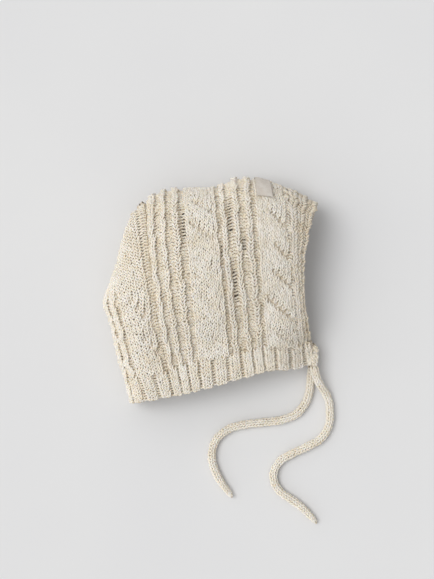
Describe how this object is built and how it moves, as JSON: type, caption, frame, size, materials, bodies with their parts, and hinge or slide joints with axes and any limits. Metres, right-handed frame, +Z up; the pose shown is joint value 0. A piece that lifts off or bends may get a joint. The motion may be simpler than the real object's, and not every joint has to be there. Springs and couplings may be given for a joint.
{
  "type": "baby bonnet",
  "caption": "Hand-knitted ribbed and cabled wool baby bonnet with knitted ties, lying on its side and open at the face and the neck",
  "frame": {"origin": "on the floor, below the middle of the bonnet's box without its ties", "axes": "+X from the back of the head to the face opening, +Y from the neck edge to the crown, +Z up from the floor the bonnet lies on"},
  "size_m": [0.1839, 0.2755, 0.062],
  "materials": {
    "wool_fabric": "soft matt hand-knitted wool",
    "wool_band": "soft matt hand-knitted wool",
    "wool_tie": "soft matt knitted wool cord",
    "label_tape": "plain woven tape"
  },
  "bodies": {
    "root": {"hood_strip": "wool_fabric", "back_panel": "wool_fabric", "neck_band": "wool_fabric", "face_band": "wool_band", "tie_join_near": "wool_band", "tie_join_far": "wool_band", "tie_near": "wool_tie", "tie_far": "wool_tie", "label": "label_tape"}
  },
  "joints": []
}
